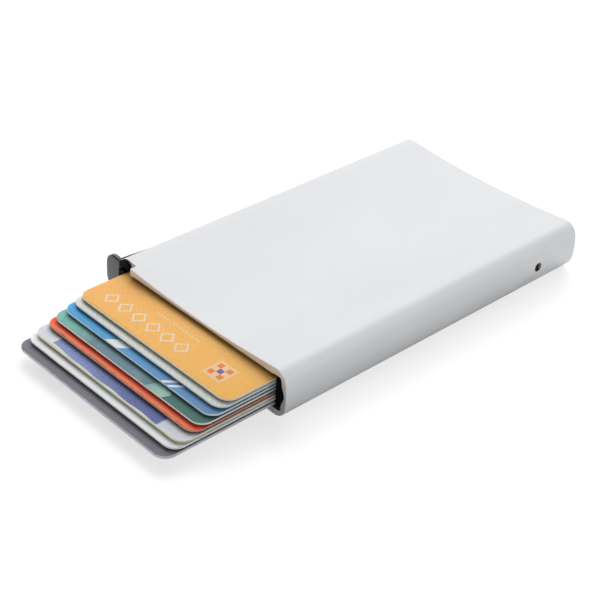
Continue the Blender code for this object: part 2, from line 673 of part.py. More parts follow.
def build_ejector_arm(frame):
    """Lever with one step for each upper card. Its origin is on the pivot's axis."""
    plastic = make_material("arm_plastic", (0.30, 0.31, 0.32), 0.5)
    place = (PIVOT.x, PIVOT.y, HUB_BOTTOM_Z)
    sections = []
    bottom = step_top(0) + 0.15 * MM
    levels = range(1, len(CARDS))
    for index in levels:
        outline = [arm_to_case(u, v, SWING) for u, v in step_outline(index, ARM_DRAFT * (index - 1))]
        for z in (bottom, step_top(index)):
            sections.append([(x, y, z) for x, y in outline])
        bottom = step_top(index)
    arm = add_object("ejector_arm", loft(sections), plastic, place=place, parent=frame, sharp=20.0)
    hub_room = HUB_RADIUS + 0.5 * MM
    cut(arm, "hub_under", rod(hub_room, 1.0 * MM, HUB_BOTTOM_Z, PIVOT, sides=28))
    cut(arm, "hub_over", rod(hub_room, HUB_TOP_Z, 12.0 * MM, PIVOT, sides=28))
    cut(arm, "pivot_bore", rod(PIVOT_PIN_RADIUS + RUNNING_GAP, 1.0 * MM, 12.0 * MM, PIVOT, sides=24))
    slot = [arm_to_case(point.x, point.y, SWING) for point in cam_slot_outline()]
    cut(arm, "cam_slot", prism(slot, 1.0 * MM, step_top(1) + 0.1 * MM))
    return arm


# Cards

def build_card(frame, index):
    name, out, colour = CARDS[index]
    material = make_material(name + "_print", colour, 0.3)
    carrier = add_empty(name + "_slide", (0.0, -out, CARD_BASE_Z + CARD_PITCH * index), frame)
    outline = rounded_rectangle((-CARD_WIDTH / 2, 0.0), (CARD_WIDTH / 2, CARD_LENGTH), CARD_CORNER, 8)
    return add_object(name, prism(outline, 0.0, CARD_THICKNESS), material, parent=carrier)


def main():
    clear_scene()
    frame = add_empty("case_frame", CASE_ORIGIN)
    build_sleeve(frame)
    build_inner_frame(frame)
    build_rear_cap(frame)
    build_frame_screw(frame)
    build_edge_spring(frame)
    build_roof_strips(frame)
    build_pivot(frame)
    slider = add_empty("slider_carriage", (0.0, 0.0, 0.0), frame)
    build_thumb_tab(slider)
    build_slide_bar(slider)
    build_tab_rivets(slider)
    build_drive_pin(slider)
    build_ejector_arm(frame)
    for index in range(len(CARDS)):
        build_card(frame, index)


main()
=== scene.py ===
import math

import bmesh
import bpy
from mathutils import Matrix, Vector


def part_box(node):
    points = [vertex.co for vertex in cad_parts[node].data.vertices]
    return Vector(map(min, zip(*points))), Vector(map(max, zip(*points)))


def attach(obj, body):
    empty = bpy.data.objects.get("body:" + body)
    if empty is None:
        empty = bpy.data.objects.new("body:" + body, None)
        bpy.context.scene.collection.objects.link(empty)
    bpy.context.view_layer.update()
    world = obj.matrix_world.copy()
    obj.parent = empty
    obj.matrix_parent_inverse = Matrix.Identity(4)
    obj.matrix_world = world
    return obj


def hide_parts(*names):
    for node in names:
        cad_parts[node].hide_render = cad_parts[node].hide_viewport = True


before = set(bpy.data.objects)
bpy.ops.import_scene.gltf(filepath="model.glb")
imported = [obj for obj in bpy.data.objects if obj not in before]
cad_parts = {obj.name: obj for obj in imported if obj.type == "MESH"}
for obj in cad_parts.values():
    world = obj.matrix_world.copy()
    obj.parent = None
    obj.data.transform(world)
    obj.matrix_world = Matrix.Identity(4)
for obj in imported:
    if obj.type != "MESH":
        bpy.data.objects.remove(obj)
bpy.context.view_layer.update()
mm = 0.001


# Small helpers for objects and meshes

def addObject(name, data):
    thing = bpy.data.objects.new(name, data)
    bpy.context.scene.collection.objects.link(thing)
    return thing


def meshFrom(bm, name):
    mesh = bpy.data.meshes.new(name)
    bm.to_mesh(mesh)
    bm.free()
    return mesh


def linkPiece(name, bm, materials, body, smoothAngle):
    mesh = meshFrom(bm, name)
    mesh.shade_smooth()
    mesh.set_sharp_from_angle(angle=math.radians(smoothAngle))
    for material in materials:
        mesh.materials.append(material)
    piece = addObject(name, mesh)
    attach(piece, body)
    return piece


def softEdges(piece, width, segments, angle):
    bevel = piece.modifiers.new("softEdges", "BEVEL")
    bevel.width = width
    bevel.segments = segments
    bevel.limit_method = "ANGLE"
    bevel.angle_limit = math.radians(angle)
    bevel.harden_normals = True
    bevel.use_clamp_overlap = True


def addBox(bm, low, high):
    low = Vector(low)
    high = Vector(high)
    verts = bmesh.ops.create_cube(bm, size=1)["verts"]
    bmesh.ops.scale(bm, vec=high - low, verts=verts)
    bmesh.ops.translate(bm, vec=(high + low) / 2, verts=verts)
    return verts


def edgesAlong(verts, axis):
    # Each edge is taken once, from its first end
    found = []
    for vert in verts:
        for edge in vert.link_edges:
            run = edge.verts[1].co - edge.verts[0].co
            if edge.verts[0] == vert and abs(run[axis]) > 0.999 * run.length:
                found.append(edge)
    return found


def roundOver(bm, edges, radius, segments):
    bmesh.ops.bevel(bm, geom=edges, offset=radius, offset_type="OFFSET", segments=segments,
                    profile=0.5, affect="EDGES", material=-1)


def cutWith(piece, cutter):
    step = piece.modifiers.new("cut", "BOOLEAN")
    step.operation = "DIFFERENCE"
    step.solver = "MANIFOLD"
    step.object = cutter


def settleModifiers(piece, cutters):
    bpy.context.view_layer.update()
    depsgraph = bpy.context.evaluated_depsgraph_get()
    settled = bpy.data.meshes.new_from_object(piece.evaluated_get(depsgraph))
    piece.modifiers.clear()
    piece.data = settled
    for cutter in cutters:
        bpy.data.objects.remove(cutter, do_unlink=True)


# Small helpers for materials

def setInputs(tree, node, inputs):
    # Another node's output is linked, and a colour or number is set on the socket itself
    for key, value in inputs.items():
        socket = node.inputs[key]
        if hasattr(value, "node"):
            tree.links.new(value, socket)
        elif socket.type == "RGBA":
            socket.default_value = (*value, 1)
        else:
            socket.default_value = value


def addNode(tree, kind, inputs=None, **settings):
    node = tree.nodes.new("ShaderNode" + kind)
    for key, value in settings.items():
        setattr(node, key, value)
    setInputs(tree, node, inputs or {})
    return node


def newMaterial(name, plain, roughness, metallic=0.0):
    # The plain colour and roughness are what is left where a finish's own nodes are unplugged
    material = bpy.data.materials.new(name)
    material.use_nodes = True
    tree = material.node_tree
    shader = tree.nodes["Principled BSDF"]
    setInputs(tree, shader, {"Base Color": plain, "Roughness": roughness, "Metallic": metallic})
    return material, tree, shader


def objectPoint(tree, scale=(1, 1, 1)):
    coords = addNode(tree, "TexCoord")
    mapping = addNode(tree, "Mapping", {"Vector": coords.outputs["Object"], "Scale": scale})
    return mapping.outputs["Vector"]


def pointAlong(tree, axis):
    return addNode(tree, "SeparateXYZ", {"Vector": objectPoint(tree)}).outputs[axis]


def noiseOf(tree, point, scale, detail, roughness=0.5):
    noise = addNode(tree, "TexNoise", {"Vector": point, "Scale": scale, "Detail": detail,
                                       "Roughness": roughness})
    return noise.outputs["Fac"]


def spread(tree, value, low, high, fromLow=0.3, fromHigh=0.7):
    # Without a range of its own, the value is a noise, which stays mostly between 0.3 and 0.7
    remap = addNode(tree, "MapRange", {"Value": value, "From Min": fromLow, "From Max": fromHigh,
                                       "To Min": low, "To Max": high})
    return remap.outputs["Result"]


def maths(tree, operation, first, second=0.0):
    return addNode(tree, "Math", {0: first, 1: second}, operation=operation).outputs[0]


def blendColours(tree, share, first, second):
    return addNode(tree, "Mix", {0: share, 6: first, 7: second}, data_type="RGBA").outputs[2]


def mottle(tree, noise, tones, fromLow=0.3, fromHigh=0.7):
    return blendColours(tree, spread(tree, noise, 0, 1, fromLow, fromHigh), *tones)


def inBand(tree, value, low, high, softness):
    above = spread(tree, value, 0, 1, low - softness, low + softness)
    below = spread(tree, value, 1, 0, high - softness, high + softness)
    return maths(tree, "MULTIPLY", above, below)


def fromMark(tree, value, start, every):
    # Distance to the nearest of the marks that stand every so far from start on
    return maths(tree, "PINGPONG", maths(tree, "SUBTRACT", value, start), every / 2)


def mmFrom(tree, axis, start):
    # Millimetres along that axis from start
    return maths(tree, "MULTIPLY", maths(tree, "SUBTRACT", pointAlong(tree, axis), start), 1 / mm)


def addBump(tree, shader, height, strength, depth=0.02 * mm):
    bump = addNode(tree, "Bump", {"Height": height, "Strength": strength, "Distance": depth})
    setInputs(tree, shader, {"Normal": bump.outputs["Normal"]})


# Camera, floor and lights

shot = {
    "place": (0.22634, -0.22418, 0.21417),
    "turn": (56.073, -2.798, 46.994),       # degrees, fitted to the outlines of case and cards
    "lens": 93.03,
    "sensor": 36.0,
    "clipStart": 0.01,
}


def placeCamera():
    camera = bpy.data.cameras.new("shotCamera")
    camera.lens = shot["lens"]
    camera.sensor_width = shot["sensor"]
    camera.clip_start = shot["clipStart"]
    holder = addObject("shotCamera", camera)
    holder.location = shot["place"]
    holder.rotation_euler = [math.radians(angle) for angle in shot["turn"]]
    bpy.context.scene.camera = holder


placeCamera()
print("camera placed")

studio = {
    "floorSize": 6.0,
    "floorGlow": 0.70,         # share of the paper's white that shadows can't take away
    "floorPaper": 0.32,        # share that takes the object's shadow
    "floorBounce": 0.88,       # paper colour that the object sees as light
    "floorSheen": 0.05,
    "sheenRoughness": 0.22,
    "air": (0.98, 0.99, 1),    # tint of the soft light and of what metal mirrors
    "surround": 0.95,          # white that metal and gloss mirror
    "ambient": 0.04,           # soft light from every side
    "skyLift": 1.0,            # further light from high up at the back left
    "skyAim": (-0.42, 0.66, 0.62),
    "skyFocus": 3.0,
    "keyPlace": (-0.78, 1.02, 0.86),
    "keySize": 1.5,
    "keyPower": 34.0,
    "fillPlace": (1.2, 0.35, 0.45),
    "fillSize": 1.0,
    "fillPower": 5.1,
    "frontPlace": (-0.25, -1.30, 0.05),
    "frontSize": 0.2,
    "frontPower": 5.6,
}


def evenGrey(level):
    return (level, level, level)


def addShaders(tree, first, second):
    return addNode(tree, "AddShader", {0: first.outputs[0], 1: second.outputs[0]})


def seenStraight(tree):
    rays = addNode(tree, "LightPath").outputs
    return maths(tree, "MAXIMUM", rays["Is Camera Ray"], rays["Is Transmission Ray"])


def whitePaper():
    # What the camera sees is kept apart from what lights the object, and neither has a hue
    material = bpy.data.materials.new("whitePaper")
    material.use_nodes = True
    tree = material.node_tree
    tree.nodes.clear()
    glow = addNode(tree, "Emission", {"Color": evenGrey(1), "Strength": studio["floorGlow"]})
    paper = addNode(tree, "BsdfDiffuse", {"Color": evenGrey(studio["floorPaper"])})
    sheen = addNode(tree, "BsdfAnisotropic", {"Color": evenGrey(studio["floorSheen"]),
                                              "Roughness": studio["sheenRoughness"]})
    seen = addShaders(tree, addShaders(tree, glow, paper), sheen)
    bounce = addNode(tree, "BsdfDiffuse", {"Color": evenGrey(studio["floorBounce"])})
    surface = addNode(tree, "MixShader", {"Fac": seenStraight(tree), 1: bounce.outputs[0],
                                          2: seen.outputs[0]})
    addNode(tree, "OutputMaterial", {"Surface": surface.outputs[0]})
    return material


def layFloor():
    bm = bmesh.new()
    bmesh.ops.create_grid(bm, x_segments=1, y_segments=1, size=studio["floorSize"] / 2)
    floor = addObject("paperFloor", meshFrom(bm, "paperFloor"))
    floor.data.materials.append(whitePaper())


def hangLamp(name):
    place = studio[name + "Place"]
    lamp = bpy.data.lights.new(name + "Box", "AREA")
    lamp.shape = "SQUARE"
    lamp.size = studio[name + "Size"]
    lamp.energy = studio[name + "Power"]
    holder = addObject(name + "Box", lamp)
    holder.location = place
    holder.rotation_euler = (-Vector(place)).to_track_quat("-Z", "Y").to_euler()
    holder.visible_glossy = False       # the metal mirrors the even surround instead


def fillAir():
    # Mirrors, glass and the camera see an even white, and everything else gets the soft light
    world = bpy.data.worlds.new("studioAir")
    bpy.context.scene.world = world
    world.use_nodes = True
    tree = world.node_tree
    direction = addNode(tree, "TexCoord").outputs["Generated"]
    aim = addNode(tree, "VectorMath", {0: direction, 1: studio["skyAim"]}, operation="DOT_PRODUCT")
    facing = maths(tree, "MAXIMUM", aim.outputs["Value"], 0.0)
    focused = maths(tree, "POWER", facing, studio["skyFocus"])
    lift = maths(tree, "MULTIPLY", focused, studio["skyLift"])
    light = maths(tree, "ADD", lift, studio["ambient"])
    mirrored = addNode(tree, "LightPath").outputs["Is Glossy Ray"]
    shown = maths(tree, "MAXIMUM", seenStraight(tree), mirrored)
    unseen = maths(tree, "MULTIPLY", light, maths(tree, "SUBTRACT", 1.0, shown))
    strength = maths(tree, "ADD", unseen, maths(tree, "MULTIPLY", shown, studio["surround"]))
    setInputs(tree, tree.nodes["Background"], {"Color": studio["air"], "Strength": strength})


bpy.context.scene.view_settings.view_transform = "Standard"
layFloor()
fillAir()
for lampName in ("key", "fill", "front"):
    hangLamp(lampName)
print("floor and lights ready")


# Sleeve: drawn from its cross-section, with the notch, slot and screw hole cut through the wall

sleeve = {
    "cornerRadius": 3.4 * mm,
    "cornerSteps": 20,
    "sideLean": 9.4,             # degrees that the bowed side turns before the corner
    "sideSteps": 6,
    "dish": 1.25 * mm,           # how far both broad faces dip in the middle
    "dishSteps": 24,
    "crest": 0.9 * mm,           # flat strip on top of each long corner
    "flatWall": 2.05 * mm,       # from the crest down to the flat inner roof
    "grooveHalf": 30.2 * mm,     # from the middle line out to the groove in the side wall
    "grooveSteps": 14,
    "ridgeHalf": 29.28 * mm,     # and out to the low ridge over and under the groove
    "ridgeHeight": 3.2 * mm,
    "ridgeTop": 3.85 * mm,
    "channelRise": 0.25 * mm,    # shallow channel in the roof beside each ridge
    "channelOuter": (29.06 * mm, 28.6 * mm),
    "channelInner": (26.65 * mm, 26.3 * mm),
    "channelLip": 0.05 * mm,
    "rimSoftness": 0.16 * mm,
    "rimSteps": 3,
    "rimAngle": 32,              # degrees from which an edge is softened
    "sharpAngle": 34,            # and from which it stays sharp in the shading
    "notchWidth": 6.75 * mm,
    "notchDepth": 1.9 * mm,
    "slotLow": 4.05 * mm,
    "slotHigh": 8.65 * mm,
    "slotEnd": 45.7 * mm,        # from the mouth to the slot's round end
    "slotSteps": 10,
    "holeFromBack": 14.6 * mm,
    "holeHeight": 6.0 * mm,
    "holeRadius": 1.25 * mm,
    "holeSteps": 40,
    "holeCut": 5 * mm,           # length of the hole's cutter
    "holeMiddle": 1 * mm,        # from the side in to that cutter's middle
    "slotCut": 4 * mm,           # how far the slot's cutter reaches in, and out of the mouth
    "over": 1 * mm,              # how far the other cutters stand out of the metal
    "mergeGap": 0.001 * mm,
}


def spinPoint(bm, vert, centre, degrees, steps):
    turned = bmesh.ops.spin(bm, geom=[vert], cent=centre, axis=(0, 1, 0),
                            angle=math.radians(degrees), steps=steps)
    return [item for item in turned["geom_last"] if isinstance(item, bmesh.types.BMVert)][0]


def stepPoint(bm, vert, move):
    grown = bmesh.ops.extrude_vert_indiv(bm, verts=[vert])["verts"][0]
    grown.co += Vector(move)
    return grown


def mouthCentre(low, high):
    return Vector(((low.x + high.x) / 2, low.y, (low.z + high.z) / 2))


def closeOverMiddles(bm, centre):
    for axis in ("X", "Z"):
        bmesh.ops.mirror(bm, geom=bm.verts[:] + bm.edges[:], matrix=Matrix.Translation(-centre),
                         merge_dist=sleeve["mergeGap"] / 10, axis=axis)
    bmesh.ops.remove_doubles(bm, verts=bm.verts, dist=sleeve["mergeGap"])


def drawOut(bm, length, over=0.0):
    # A ring of edges at the mouth becomes a closed bar, which reaches past both ends by over
    bmesh.ops.translate(bm, vec=(0, -over, 0), verts=bm.verts)
    grown = bmesh.ops.extrude_edge_only(bm, edges=bm.edges[:])["geom"]
    farVerts = [item for item in grown if isinstance(item, bmesh.types.BMVert)]
    bmesh.ops.translate(bm, vec=(0, length + 2 * over, 0), verts=farVerts)
    bmesh.ops.holes_fill(bm, edges=bm.edges, sides=0)


def outerRing(low, high):
    # A quarter of the outline, from the side's middle over the corner to the top's middle
    bm = bmesh.new()
    centre = mouthCentre(low, high)
    lean = math.radians(sleeve["sideLean"])
    radius = sleeve["cornerRadius"]
    halfSide = (high.z - low.z) / 2 - radius * (1 - math.sin(lean))
    sideRadius = halfSide / math.sin(lean)
    sideCentre = Vector((high.x - sideRadius, low.y, centre.z))
    cornerOut = sideCentre.x + (sideRadius - radius) * math.cos(lean)
    cornerCentre = Vector((cornerOut, low.y, high.z - radius))
    vert = bmesh.ops.create_vert(bm, co=(high.x, low.y, centre.z))["vert"][0]
    vert = spinPoint(bm, vert, sideCentre, -sleeve["sideLean"], sleeve["sideSteps"])
    vert = spinPoint(bm, vert, cornerCentre, sleeve["sideLean"] - 90, sleeve["cornerSteps"])
    vert = stepPoint(bm, vert, (-sleeve["crest"], 0, 0))
    half = vert.co.x - centre.x
    dishRadius = (half ** 2 + sleeve["dish"] ** 2) / (2 * sleeve["dish"])
    dishCentre = (centre.x, low.y, high.z - sleeve["dish"] + dishRadius)
    dishTurn = math.degrees(math.asin(half / dishRadius))
    spinPoint(bm, vert, dishCentre, dishTurn, sleeve["dishSteps"])
    closeOverMiddles(bm, centre)
    return bm


def innerRing(low, high):
    # A quarter of the bore, from the groove that the frame's rail sits in to the roof's middle
    bm = bmesh.new()
    centre = mouthCentre(low, high)
    roofRise = high.z - sleeve["flatWall"] - centre.z
    vert = bmesh.ops.create_vert(bm, co=centre + Vector((sleeve["grooveHalf"], 0, 0)))["vert"][0]

    def goTo(out, rise):
        return stepPoint(bm, vert, centre + Vector((out, 0, rise)) - vert.co)
    depth = sleeve["grooveHalf"] - sleeve["ridgeHalf"]
    for step in range(1, sleeve["grooveSteps"] + 1):
        share = step / sleeve["grooveSteps"]
        vert = goTo(sleeve["grooveHalf"] - depth * (1 - math.cos(math.pi * share)) / 2,
                    sleeve["ridgeHeight"] * share)
    vert = goTo(sleeve["ridgeHalf"], sleeve["ridgeTop"])
    vert = goTo(sleeve["channelOuter"][0], roofRise + sleeve["channelLip"])
    vert = goTo(sleeve["channelOuter"][1], roofRise + sleeve["channelRise"])
    vert = goTo(sleeve["channelInner"][0], roofRise + sleeve["channelRise"])
    vert = goTo(sleeve["channelInner"][1], roofRise)
    vert = goTo(0, roofRise)
    closeOverMiddles(bm, centre)
    return bm


def cutterFrom(bm, name):
    bmesh.ops.recalc_face_normals(bm, faces=bm.faces)
    return addObject(name, meshFrom(bm, name))


def boreCutter(low, high):
    bm = innerRing(low, high)
    drawOut(bm, high.y - low.y, sleeve["over"])
    return cutterFrom(bm, "boreCutter")


def notchCutter(low, high):
    over = sleeve["over"]
    bm = bmesh.new()
    addBox(bm, (low.x - over, low.y - over, low.z + sleeve["slotLow"]),
           (low.x + sleeve["notchWidth"], low.y + sleeve["notchDepth"], high.z + over))
    return cutterFrom(bm, "notchCutter")


def slotCutter(low):
    bm = bmesh.new()
    near = (low.x - sleeve["over"], low.y - sleeve["slotCut"], low.z + sleeve["slotLow"])
    far = (low.x + sleeve["slotCut"], low.y + sleeve["slotEnd"], low.z + sleeve["slotHigh"])
    verts = addBox(bm, near, far)
    endEdges = [edge for edge in edgesAlong(verts, 0) if edge.verts[0].co.y > low.y]
    endRadius = (sleeve["slotHigh"] - sleeve["slotLow"]) / 2 - sleeve["mergeGap"]
    roundOver(bm, endEdges, endRadius, sleeve["slotSteps"])
    # Both arcs nearly meet in the middle of the round end
    bmesh.ops.remove_doubles(bm, verts=bm.verts, dist=5 * sleeve["mergeGap"])
    return cutterFrom(bm, "slotCutter")


def holeCutter(low, high):
    bm = bmesh.new()
    bmesh.ops.create_cone(bm, cap_ends=True, segments=sleeve["holeSteps"], depth=sleeve["holeCut"],
                          radius1=sleeve["holeRadius"], radius2=sleeve["holeRadius"])
    bmesh.ops.rotate(bm, verts=bm.verts, cent=(0, 0, 0),
                     matrix=Matrix.Rotation(math.radians(90), 3, "Y"))
    place = (high.x - sleeve["holeMiddle"], high.y - sleeve["holeFromBack"],
             low.z + sleeve["holeHeight"])
    bmesh.ops.translate(bm, verts=bm.verts, vec=place)
    return cutterFrom(bm, "holeCutter")


def makeSleeve(outside, cutEdges, inside):
    low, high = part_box("case_shell")
    bm = outerRing(low, high)
    drawOut(bm, high.y - low.y)
    bmesh.ops.recalc_face_normals(bm, faces=bm.faces)
    piece = linkPiece("sleeve", bm, [outside, cutEdges, inside], "case", sleeve["sharpAngle"])
    cutters = [boreCutter(low, high), notchCutter(low, high), slotCutter(low),
               holeCutter(low, high)]
    cutWith(piece, cutters[0])
    softEdges(piece, sleeve["rimSoftness"], sleeve["rimSteps"], sleeve["rimAngle"])
    for cutter in cutters[1:]:          # after the rims are softened, so that these cuts stay crisp
        cutWith(piece, cutter)
    settleModifiers(piece, cutters)
    piece.data.shade_smooth()
    piece.data.set_sharp_from_angle(angle=math.radians(sleeve["sharpAngle"]))
    evened = piece.modifiers.new("evenNormals", "WEIGHTED_NORMAL")
    evened.keep_sharp = True
    middle = (low + high) / 2
    for face in piece.data.polygons:
        inwards = middle - face.center
        inwards.y = 0
        if abs(face.normal.y) > 0.75:           # both rims, and the notch's and the slot's ends
            face.material_index = 1
        elif face.normal.dot(inwards) > 0:      # the bore, painted dark as shade
            face.material_index = 2
    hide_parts("case_shell")


satin = {
    "plain": (0.745, 0.752, 0.764),
    "tones": ((0.722, 0.729, 0.742), (0.749, 0.755, 0.765)),
    "roughness": 0.54,
    "metallic": 0.55,
    "cloudScale": 60,            # slow change of tone and gloss over the faces
    "streakScale": 2600,         # drawing marks, which run the sleeve's length
    "streakStretch": 0.02,
    "streakRoughness": (0.50, 0.57),
    "cloudRoughness": (-0.02, 0.03),
    "grainScale": 9000,
    "grainShare": 0.7,           # of the relief; the streaks have the rest
    "relief": 0.35,
}

sawn = {
    "plain": (0.70, 0.69, 0.68),
    "tones": ((0.70, 0.68, 0.665), (0.80, 0.78, 0.765)),
    "roughness": 0.45,
    "metallic": 0.3,
    "markScale": 4200,           # marks of the saw, upright on the cut
    "markStretch": 0.05,
    "markRoughness": (0.38, 0.52),
    "relief": 0.3,
}

# The bore's metal is nearly black: painted shade that deepens the slit under the roof, over real
# die lines
shadedBore = {
    "plain": (0.08, 0.075, 0.07),
    "tones": ((0.06, 0.056, 0.053), (0.10, 0.095, 0.09)),
    "roughness": 0.6,
    "metallic": 0.2,
    "lineScale": 2200,           # lines of the die along the bore
    "lineStretch": 0.01,
    "relief": 0.3,
}


def satinAluminium():
    material, tree, shader = newMaterial("satinAluminium", satin["plain"], satin["roughness"],
                                         satin["metallic"])
    point = objectPoint(tree)
    stretched = objectPoint(tree, scale=(1, satin["streakStretch"], 1))
    cloud = noiseOf(tree, point, satin["cloudScale"], detail=4)
    streak = noiseOf(tree, stretched, satin["streakScale"], detail=3)
    grain = noiseOf(tree, point, satin["grainScale"], detail=2)
    rough = maths(tree, "ADD", spread(tree, streak, *satin["streakRoughness"]),
                  spread(tree, cloud, *satin["cloudRoughness"]))
    setInputs(tree, shader, {"Base Color": mottle(tree, cloud, satin["tones"]), "Roughness": rough})
    height = maths(tree, "ADD", maths(tree, "MULTIPLY", grain, satin["grainShare"]),
                   maths(tree, "MULTIPLY", streak, 1 - satin["grainShare"]))
    addBump(tree, shader, height, satin["relief"])
    return material


def sawnAluminium():
    material, tree, shader = newMaterial("sawnAluminium", sawn["plain"], sawn["roughness"],
                                         sawn["metallic"])
    stretched = objectPoint(tree, scale=(1, 1, sawn["markStretch"]))
    marks = noiseOf(tree, stretched, sawn["markScale"], detail=2)
    setInputs(tree, shader, {"Base Color": mottle(tree, marks, sawn["tones"]),
                             "Roughness": spread(tree, marks, *sawn["markRoughness"])})
    addBump(tree, shader, marks, sawn["relief"])
    return material


def shadedBoreAluminium():
    material, tree, shader = newMaterial("shadedBoreAluminium", shadedBore["plain"], shadedBore["roughness"],
                                         shadedBore["metallic"])
    stretched = objectPoint(tree, scale=(1, shadedBore["lineStretch"], 1))
    lines = noiseOf(tree, stretched, shadedBore["lineScale"], detail=3)
    setInputs(tree, shader, {"Base Color": mottle(tree, lines, shadedBore["tones"])})
    addBump(tree, shader, lines, shadedBore["relief"])
    return material


makeSleeve(satinAluminium(), sawnAluminium(), shadedBoreAluminium())
print("sleeve ready")


# Cards: one rounded plate each, with its own print on top, a plain back and an edge painted light
# above and in shade below.
# In the dictionaries of single cards, places are in millimetres, across from the middle line
# or back from the front edge. Scales are those of the noise, wave or cell texture.

anyCard = {
    "cornerRadius": 3.18 * mm,
    "cornerSteps": 12,
    "edgeSoftness": 0.07 * mm,
    "edgeSteps": 2,
    "smoothAngle": 30,
    "edgeRoughness": 0.45,
    "edgeScuffs": 700,
    "edgeWaver": 0.04,           # share of the thickness by which the core line strays
    "shadeToLineSplit": (0.40, 0.52),    # share of the thickness where the painted shade below gives way to the lit core line
    "wornShare": 0.93,
    "backRoughness": 0.33,
    "backGrain": 2500,
    "magneticBand": (0.08, 0.31),       # places on the back are shares of its width or length
    "magneticInk": (0.02, 0.018, 0.017),
    "panelAcross": (0.42, 0.60),
    "panelAlong": (0.06, 0.74),
    "panelSoftness": 0.004,
    "panelLines": 260,
    "panelTones": ((0.88, 0.88, 0.85), (0.70, 0.74, 0.78)),
    "sheetScuffs": 420,
    "sheetRoughness": (-0.01, 0.03),    # added to the card's own
    "sheetSpecular": 0.22,
    "sheetGrain": 3200,
}


def shareAlong(tree, node, axis):
    low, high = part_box(node)
    place = "XYZ".index(axis)
    return spread(tree, pointAlong(tree, axis), 0, 1, low[place], high[place])


def cardEdge(card):
    # Pale core line along the upper half, partly the card's white core and partly painted
    # highlight; below it painted shade and reflection, tinted like whatever lies beneath
    line = card["litCoreLine"]
    material, tree, shader = newMaterial(card["node"] + "Edge", line, anyCard["edgeRoughness"])
    height = shareAlong(tree, card["node"], "Z")
    scuff = noiseOf(tree, objectPoint(tree), anyCard["edgeScuffs"], detail=3)
    waver = spread(tree, scuff, -anyCard["edgeWaver"], anyCard["edgeWaver"])
    worn = mottle(tree, scuff, (line, [channel * anyCard["wornShare"] for channel in line]))
    litShare = spread(tree, maths(tree, "ADD", height, waver), 0, 1, *anyCard["shadeToLineSplit"])
    setInputs(tree, shader, {"Base Color": blendColours(tree, litShare, card["paintedLowerEdge"], worn)})
    addBump(tree, shader, scuff, strength=0.2)
    return material


def cardBack(card):
    # Laminated back with a dark magnetic band and a pale, ruled writing panel
    material, tree, shader = newMaterial(card["node"] + "Back", card["back"],
                                         anyCard["backRoughness"])
    across = shareAlong(tree, card["node"], "X")
    along = shareAlong(tree, card["node"], "Y")
    softness = anyCard["panelSoftness"]
    band = inBand(tree, across, *anyCard["magneticBand"], softness)
    panel = maths(tree, "MULTIPLY", inBand(tree, across, *anyCard["panelAcross"], softness),
                  inBand(tree, along, *anyCard["panelAlong"], softness))
    lines = addNode(tree, "TexWave", {"Vector": objectPoint(tree), "Scale": anyCard["panelLines"],
                                      "Distortion": 0}, bands_direction="DIAGONAL")
    paper = blendColours(tree, spread(tree, lines.outputs["Fac"], 0, 0.5, 0, 1),
                         *anyCard["panelTones"])
    withPanel = blendColours(tree, panel, card["back"], paper)
    setInputs(tree, shader, {"Base Color": blendColours(tree, band, withPanel,
                                                        anyCard["magneticInk"])})
    grain = noiseOf(tree, objectPoint(tree), anyCard["backGrain"], detail=2)
    addBump(tree, shader, grain, strength=0.1)
    return material


def makeCard(card, printed):
    node = card["node"]
    body = node.replace("card_", "")
    low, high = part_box(node)
    bm = bmesh.new()
    verts = addBox(bm, low, high)
    roundOver(bm, edgesAlong(verts, 2), anyCard["cornerRadius"], anyCard["cornerSteps"])
    flatFaces = [face for face in bm.faces if abs(face.normal.z) > 0.9]
    rims = [edge for face in flatFaces for edge in face.edges]
    roundOver(bm, rims, anyCard["edgeSoftness"], anyCard["edgeSteps"])
    bm.normal_update()
    for face in bm.faces:               # the top, the back, and the edge all round
        if face.normal.z > 0.95:
            face.material_index = 0
        elif face.normal.z < -0.95:
            face.material_index = 1
        else:
            face.material_index = 2
    piece = linkPiece(body + "Card", bm, [printed, cardBack(card), cardEdge(card)], body,
                      anyCard["smoothAngle"])
    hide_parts(node)


def cardAxes(tree, card):
    low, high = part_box(card["node"])
    return mmFrom(tree, "X", (low.x + high.x) / 2), mmFrom(tree, "Y", low.y)


def newPrint(card):
    return newMaterial(card["node"].replace("card_", "") + "Print", card["plain"],
                       card["roughness"])


def laminate(card, tree, shader, colour):
    # Clear sheet over the print: faint waviness, tiny scuffs
    scuff = noiseOf(tree, objectPoint(tree), anyCard["sheetScuffs"], detail=4)
    rough = spread(tree, scuff, *[card["roughness"] + step for step in anyCard["sheetRoughness"]])
    setInputs(tree, shader, {"Base Color": colour, "Roughness": rough,
                             "Specular IOR Level": anyCard["sheetSpecular"]})
    grain = noiseOf(tree, objectPoint(tree), anyCard["sheetGrain"], detail=2)
    addBump(tree, shader, grain, strength=0.08)


